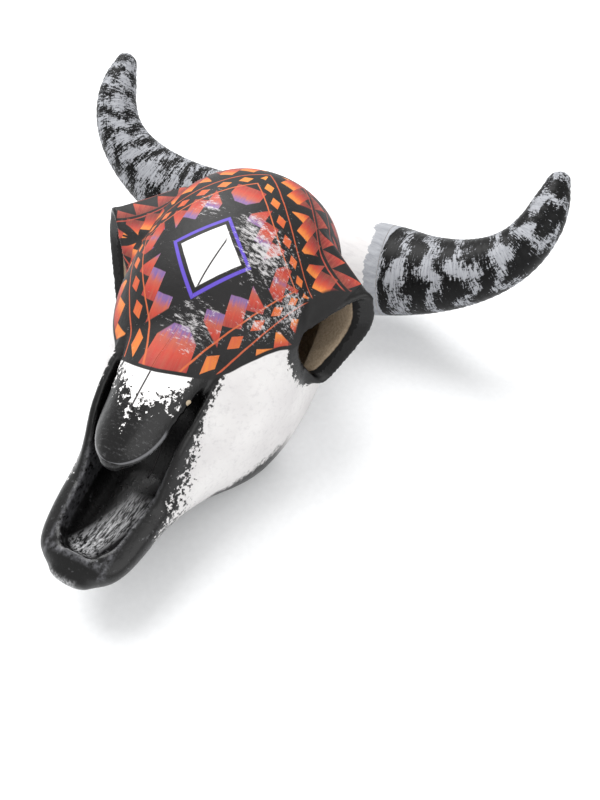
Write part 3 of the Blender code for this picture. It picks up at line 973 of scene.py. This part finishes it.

    # black paint: rubbed grey on the rim of the trough and the nasal tip, and painted highlights: a light
    # line round the nasal tip and a grey sheen along the crest of the trough's rim
    blackAndSheen = f.mixed(f.ramped(cloud, 0.4, 0.75), hue("muzzleBlack"), hue("muzzleGrey"))
    rimWear = f.both(f.ramped(speck, 0.6, 0.7), f.ramped(coarse, 0.48, 0.6),
                     f.under(y, marks["wearBack"], 0.01))
    blackAndSheen = f.mixed(f.mul(rimWear, 0.7), blackAndSheen, hue("rimWear"))
    rubbed = f.both(f.ramped(f.stretched(place, *grains["rubbed"]), 0.56, 0.7),
                    f.ramped(spot(*marks["tipRub"]), 0.0, 0.6))
    blackAndSheen = f.mixed(f.mul(rubbed, 0.45), blackAndSheen, hue("rubbed"))
    # painted highlight on the edge of the nasal tip
    blackAndSheen = f.mixed(f.mul(paintedTipHighlight, 0.75), blackAndSheen, hue("paintedTipHighlight"))
    # painted highlight: grey sheen along the crest of the trough's sides and its front end
    rimAt = f.size(f.sub(wide, f.ramped(y, *marks["rimY"], *marks["rimX"])))
    rimSide = f.both(f.sub(1.0, f.divide(rimAt, marks["rimBroad"])), f.under(y, marks["rimBack"], 0.006))
    endAt = f.size(f.sub(y, marks["rimEnd"]))
    rimEnd = f.both(f.sub(1.0, f.divide(endAt, marks["rimEndBroad"])),
                    f.under(wide, marks["rimEndHalf"], 0.003))
    paintedRimSheen = f.both(f.either(rimSide, rimEnd, 0.0), f.over(z, marks["rimLow"], 0.002))
    blackAndSheen = f.mixed(f.mul(f.mul(paintedRimSheen, f.ramped(speck, 0.36, 0.6)), 0.65), blackAndSheen, hue("paintedRimSheen"))

    # worn streaks on the floor of the trough
    floorWorn = f.stretched(place, *grains["floor"])
    laneAt = f.ramped(y, *marks["laneY"], *marks["laneX"])
    lane = f.ramped(f.sub(marks["laneHalf"], f.size(f.sub(x, laneAt))), -0.004, 0.004)
    inTrough = f.both(lane, f.under(z, marks["laneTop"], 0.002), f.under(y, marks["laneBack"], 0.006))
    floorWear = f.mul(f.both(f.ramped(floorWorn, 0.46, 0.6), inTrough), 0.9)
    blackAndSheen = f.mixed(floorWear, blackAndSheen, hue("floorWear"))

    jaw = f.mixed(f.either(muzzle, sockets), pale, blackAndSheen)
    top = f.mixed(artShown, ground, f.mixed(rimBlack, art, ground))
    colour = f.mixed(forehead, jaw, top)
    colour = f.mixed(grooveDark, colour, hue("groove"))
    chip = f.over(spot(*marks["chip"]), 0.3, 0.1)
    colour = f.mixed(chip, colour, hue("chip"))

    glossy = f.both(f.either(muzzle, sockets), f.less(forehead))
    roughness = f.add(f.ramped(glossy, 0.0, 1.0, 0.56, 0.29), f.around(speck, 0.14))
    height = f.add(f.mul(coarse, 0.9), f.mul(speck, 0.45), f.mul(fine, 0.12), f.mul(strokes, 0.2),
                   f.mul(groove, -2.2))
    f.bumped(height, 0.0006, 0.5)
    return f.done(colour, roughness)


def insidePaint():
    f = Finish("rawClay")
    place = f.place()
    grain = f.noise(place, *grains["clay"])
    cloud = f.noise(place, *grains["clayCloud"])
    away, depth = fromEye(f, *f.parts(place), socket["clayMiddle"])
    deep = f.edge(f.add(f.sub(depth, socket["clayDepth"]), f.around(cloud, 0.003)), 0.0004)
    clay = f.mixed(f.ramped(grain, 0.35, 0.7), hue("clay"), hue("clayDark"))
    colour = f.mixed(deep, hue("black"), clay)
    f.bumped(f.add(grain, f.mul(cloud, 1.5)), 0.0005, 0.5)
    return f.done(colour, 0.85)


hornStrokes = {
    # spacing of the transverse strokes, where the lengthwise stroke lies round the horn, level of
    # the silver, strength of fine and of broader hairs, place in the noise
    "hornLeft": {"spacing": 0.014, "facing": (0.75, -0.66), "level": -0.1,
                 "hair": 3.6, "wisp": 3.4, "seed": 0.7},
    "hornRight": {"spacing": 0.0215, "facing": (-0.62, -0.78), "level": -0.23,
                  "hair": 1.9, "wisp": 2.1, "seed": 0.0},
}

hornGrains = {
    # noise drawn out round the horn: a scale each way, detail, roughness
    "sweeps": ((38.0, 1.1, 1.1), 3.0, 0.5),
    "blots": ((170.0, 4.0, 4.0), 6.0, 0.75),
    "hairs": ((1300.0, 3.4, 3.4), 4.0, 0.65),
    "wisps": ((520.0, 16.0, 16.0), 5.0, 0.75),
    "scratch": ((1500.0, 3.0, 3.0), 2.0, 0.5),
    "scratchPatch": ((60.0, 5.0, 5.0), 2.0, 0.5),
}


def hornPaint(name):
    # dry silver strokes round a black horn, from stored places: metres along it, and the way round
    look = hornStrokes[name]
    f = Finish(name + "Paint", 0.15)
    node = f.node("Attribute")
    node.attribute_name = "hornWay"
    along, turnA, turnB = f.parts(node.outputs["Vector"])
    shifted = f.vector(f.add(along, look["seed"]), turnA, turnB)
    brushes = [f.stretched(shifted, *row) for row in hornGrains.values()]
    sweeps, blots, hairs, wisps, scratch, scratchPatch = brushes
    speck = f.noise(f.place(), *grains["hornSpeck"])

    turns = f.add(f.divide(along, look["spacing"]), f.mul(sweeps, 1.9))
    wave = f.math("COSINE", f.mul(turns, 2 * math.pi))
    facing = f.add(f.mul(turnA, look["facing"][0]), f.mul(turnB, look["facing"][1]))
    stripe = f.ramped(f.add(facing, f.around(blots, 0.05)), 0.93, 0.985)
    root = f.ramped(along, 0.003, 0.008, 1.6, 0.0)
    cover = f.add(f.mul(wave, 0.4), f.mul(stripe, 0.34), f.around(blots, 0.75), root, look["level"],
                  f.around(hairs, look["hair"]), f.around(wisps, look["wisp"]))
    silver = f.ramped(cover, -0.05, 0.14)
    scratched = f.both(f.ramped(scratch, 0.66, 0.7), f.ramped(scratchPatch, 0.45, 0.55))
    silver = f.either(silver, f.mul(scratched, 0.8))
    dark = f.mixed(f.ramped(wisps, 0.35, 0.7), hue("hornBlack"), hue("hornGrey"))
    light = f.mixed(f.ramped(hairs, 0.3, 0.65), hue("silver"), hue("silverLight"))
    roughness = f.add(f.ramped(silver, 0.0, 1.0, 0.42, 0.58), f.around(speck, 0.1))
    f.bumped(f.add(f.mul(hairs, 0.5), f.mul(silver, 0.5), f.mul(speck, 0.3)), 0.0004, 0.5)
    return f.done(f.mixed(silver, dark, light), roughness)


# Building the casting

def buildSkull():
    first = head["stations"][0][0]
    last = head["stations"][-1][0]
    item = joined("skull", [headForm("head", first, last, 0.0, head["caps"]), wallForm(-1), wallForm(1)])
    fused(item, head["voxel"], head["smoothing"][0])
    carved(item, [troughForm()])
    forms = [item, nasalForm(), pollForm()]
    for side in (-1, 1):
        forms += [socketForm(side), hornForm(side)]
    item = joined("skull", forms)
    fused(item, head["voxel"], head["smoothing"][1])
    outer = treeOf(item)
    hollow = headForm("hollow", head["hollowFront"], head["hollowBack"], head["shell"], head["hollowCaps"])
    carved(item, [hollow, eyeForm(-1), eyeForm(1)])
    fused(item, head["voxel"], head["smoothing"][2])
    carved(item, [block("table", *head["underTable"]), block("palate", *head["palate"])])
    horns = []
    for side, name in ((-1, "hornLeft"), (1, "hornRight")):
        horns.append(carved(copied(item, name), [hornBox(side)], "INTERSECT"))
    carved(item, [hornBox(-1), hornBox(1)])
    return item, horns, outer


def triangles(item):
    return sum(len(face.vertices) - 2 for face in item.data.polygons)


def thinned(item, most):
    # fewer triangles where the surface is nearly flat
    thin = item.modifiers.new("thin", "DECIMATE")
    thin.ratio = min(most / triangles(item), 1.0)
    return applied(item)


def partMuzzle(item):
    # the painted head in two pieces, in front of the cranium and behind
    front = copied(item, "muzzle")
    for piece, operation in ((front, "INTERSECT"), (item, "DIFFERENCE")):
        carved(piece, [block("front", *head["frontBox"])], operation)
        thinned(piece, head["mostTriangles"])
        shaded(piece)
    return front


def keepLargest(item):
    bm = bmesh.new()
    bm.from_mesh(item.data)
    left = set(bm.faces)
    best = set()
    while left:
        seed = left.pop()
        shell = {seed}
        queue = [seed]
        while queue:
            for edge in queue.pop().edges:
                for face in edge.link_faces:
                    if face not in shell:
                        shell.add(face)
                        queue.append(face)
        left -= shell
        if len(shell) > len(best):
            best = shell
    bmesh.ops.delete(bm, geom=[face for face in bm.faces if face not in best], context="FACES")
    bm.to_mesh(item.data)
    bm.free()


def markInside(item, outer):
    # faces well below the uncut surface are raw clay
    mark = item.data.attributes.new("inside", "BOOLEAN", "FACE")
    values = []
    for face in item.data.polygons:
        near, normal, index, gap = outer.find_nearest(face.center)
        values.append(gap > head["clayDepth"] and face.center.y > head["clayFront"])
    mark.data.foreach_set("value", values)


def markHorn(item, side):
    # how far along the horn and where round it each point lies
    last = len(horn["stations"]) - 1.0
    steps = stepsBetween(horn["root"] - horn["before"], last, horn["lineStep"])
    line = [(t, *hornAt(t, side)) for t in steps]
    lengths = [0.0]
    for one, two in zip(line, line[1:]):
        lengths.append(lengths[-1] + (two[1] - one[1]).length)
    start = min(range(len(line)), key=lambda k: abs(line[k][0] - horn["root"]))
    mark = item.data.attributes.new("hornWay", "FLOAT_VECTOR", "POINT")
    skip = horn["skip"]
    values = []
    for vertex in item.data.vertices:
        best = min(range(0, len(line), skip), key=lambda k: (line[k][1] - vertex.co).length_squared)
        near = range(max(best - skip, 0), min(best + skip + 1, len(line)))
        k = min(near, key=lambda k: (line[k][1] - vertex.co).length_squared)
        along = hornDirection(line[k][0], side)
        offset = vertex.co - line[k][1]
        u = Vector((0, 1, 0)).cross(along).normalized()
        v = along.cross(u)
        spoke = Vector((offset.dot(u), offset.dot(v)))
        spoke = spoke.normalized() if spoke.length > 1e-6 else Vector((1, 0))
        values += [lengths[k] - lengths[start] + offset.dot(along), spoke.x, spoke.y]
    mark.data.foreach_set("vector", values)


relief = {
    # the tree's inputs, with the value each has unless a piece gives its own
    "inputs": (("Unevenness", 0.00016), ("Lump size", 38.0), ("Ring depth", 0.0), ("Ring spacing", 0.0042)),
    "lumpDetail": 3.0,
    "lumpLevel": 0.62,
    "ringWander": 1.6,
    "headUnevenness": 0.0005,
}


def surfaceTree(name, base, chosen=None, attribute=""):
    # Geometry Nodes: uneven hand-cast surface, ring relief where a way is stored, then materials
    tree = bpy.data.node_groups.new(name, "GeometryNodeTree")
    for end in ("INPUT", "OUTPUT"):
        tree.interface.new_socket("Geometry", in_out=end, socket_type="NodeSocketGeometry")
    for label, value in relief["inputs"]:
        tree.interface.new_socket(label, in_out="INPUT", socket_type="NodeSocketFloat").default_value = value

    def join(node, slot, value):
        if isinstance(value, bpy.types.NodeSocket):
            tree.links.new(value, node.inputs[slot])
        else:
            node.inputs[slot].default_value = value

    def made(kind, *inputs):
        node = tree.nodes.new(kind)
        for slot, value in inputs:
            join(node, slot, value)
        return node

    def sums(operation, *values):
        node = made("ShaderNodeMath", *enumerate(values))
        node.operation = operation
        return node.outputs[0]

    def stored(label, kind):
        node = made("GeometryNodeInputNamedAttribute")
        node.data_type = kind
        join(node, "Name", label)
        return node.outputs["Attribute"]

    start = made("NodeGroupInput").outputs
    lumps = made("ShaderNodeTexNoise", ("Scale", start["Lump size"]), ("Detail", relief["lumpDetail"]))
    lumps = lumps.outputs["Fac"]
    way = made("ShaderNodeSeparateXYZ", (0, stored("hornWay", "FLOAT_VECTOR")))
    turns = sums("DIVIDE", way.outputs[0], start["Ring spacing"])
    turns = sums("ADD", turns, sums("MULTIPLY", lumps, relief["ringWander"]))
    wave = sums("MULTIPLY", sums("SINE", sums("MULTIPLY", turns, 2 * math.pi)), start["Ring depth"])
    rise = sums("MULTIPLY", sums("SUBTRACT", lumps, relief["lumpLevel"]), start["Unevenness"])
    rise = sums("SUBTRACT", sums("ADD", rise, wave), start["Ring depth"])
    shift = made("ShaderNodeVectorMath")
    shift.operation = "SCALE"
    join(shift, 0, made("GeometryNodeInputNormal").outputs[0])
    join(shift, "Scale", rise)
    moved = made("GeometryNodeSetPosition", ("Geometry", start["Geometry"]), ("Offset", shift.outputs[0]))
    out = made("GeometryNodeRealizeInstances", (0, moved.outputs[0])).outputs[0]
    out = made("GeometryNodeSetMaterial", ("Geometry", out), ("Material", base)).outputs[0]
    if chosen:
        which = stored(attribute, "BOOLEAN")
        out = made("GeometryNodeSetMaterial", ("Geometry", out), ("Material", chosen), ("Selection", which))
        out = out.outputs[0]
    made("NodeGroupOutput", (0, out))
    return tree


def surfaced(item, tree, settings):
    nodes = item.modifiers.new("surface", "NODES")
    nodes.node_group = tree
    for socketItem in tree.interface.items_tree:
        if socketItem.item_type == "SOCKET" and socketItem.name in settings:
            nodes[socketItem.identifier] = settings[socketItem.name]
    return shaded(applied(item))


skull, hornPieces, outerTree = buildSkull()
print("casting built", len(skull.data.polygons))
keepLargest(skull)
markInside(skull, outerTree)
skull.name = "skullBody"
skullTree = surfaceTree("castSurface", skullPaint(), insidePaint(), "inside")
surfaced(skull, skullTree, {"Unevenness": relief["headUnevenness"]})
muzzlePiece = partMuzzle(skull)
for piece, nodes, slot in ((skull, ("cranium",), "forehead_paint"),
                           (muzzlePiece, ("upper_jaw", "nasal_bone"), "jaw_paint")):
    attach(piece, "root")
    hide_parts(*nodes)
    print(piece.name, triangles(piece))

for piece, side, node in ((hornPieces[0], -1, "horn_left"), (hornPieces[1], 1, "horn_right")):
    keepLargest(piece)
    markHorn(piece, side)
    tree = surfaceTree(piece.name + "Surface", hornPaint(piece.name))
    surfaced(piece, tree, {"Ring depth": horn["ringDepth"], "Ring spacing": horn["ringSpacing"]})
    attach(piece, "root")
    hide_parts(node)
    print(piece.name, triangles(piece))


# Floor, light and camera

studio = {
    "floor": ("f3f4f5", "eff0f1"),
    "floorHalf": 3.0,
    "floorGrain": (240.0, 3.0, 0.5),
    "world": 0.78,
    # name, place, size and power of each light, and the height that it points at
    "lights": (
        ("key", (-0.7, 0.45, 1.3), 1.3, 26.0),
        ("fill", (0.9, -0.6, 0.9), 1.4, 7.0),
    ),
    "aim": Vector((0.0, 0.0, 0.05)),
    "camera": Vector((0.14132, -0.22728, 0.34276)),
    "right": Vector((0.9108, 0.40894, 0.05664)),
    "up": Vector((-0.354, 0.703, 0.61683)),
    "lens": 27.224,
}


def buildFloor():
    half = studio["floorHalf"]
    mesh = bpy.data.meshes.new("floor")
    corners = [(-half, -half, 0), (half, -half, 0), (half, half, 0), (-half, half, 0)]
    mesh.from_pydata(corners, [], [(0, 1, 2, 3)])
    item = linked(bpy.data.objects.new("floor", mesh))
    f = Finish("floorPaper")
    grain = f.noise(f.place(), *studio["floorGrain"])
    colour = f.mixed(f.ramped(grain, 0.3, 0.7), *[paint(code) for code in studio["floor"]])
    item.data.materials.append(f.done(colour, 0.9))


def addLight(name, place, size, power):
    lamp = bpy.data.lights.new(name, "AREA")
    lamp.shape = "DISK"
    lamp.size = size
    lamp.energy = power
    item = linked(bpy.data.objects.new(name, lamp))
    item.location = place
    item.rotation_euler = (studio["aim"] - Vector(place)).to_track_quat("-Z", "Y").to_euler()


buildFloor()
for light in studio["lights"]:
    addLight(*light)

world = bpy.data.worlds.new("studio")
bpy.context.scene.world = world
world.use_nodes = True
background = world.node_tree.nodes["Background"].inputs
background[0].default_value = (1.0, 1.0, 1.0, 1.0)
background[1].default_value = studio["world"]

camera = linked(bpy.data.objects.new("camera", bpy.data.cameras.new("camera")))
right = studio["right"].normalized()
up = studio["up"].normalized()
turn = Matrix((right, up, right.cross(up))).transposed()
camera.matrix_world = Matrix.Translation(studio["camera"]) @ turn.to_4x4()
camera.data.sensor_width = 36.0
camera.data.lens = studio["lens"]
camera.data.clip_start = 0.01
bpy.context.scene.camera = camera

bpy.context.scene.view_settings.view_transform = "Standard"
print("studio ready")
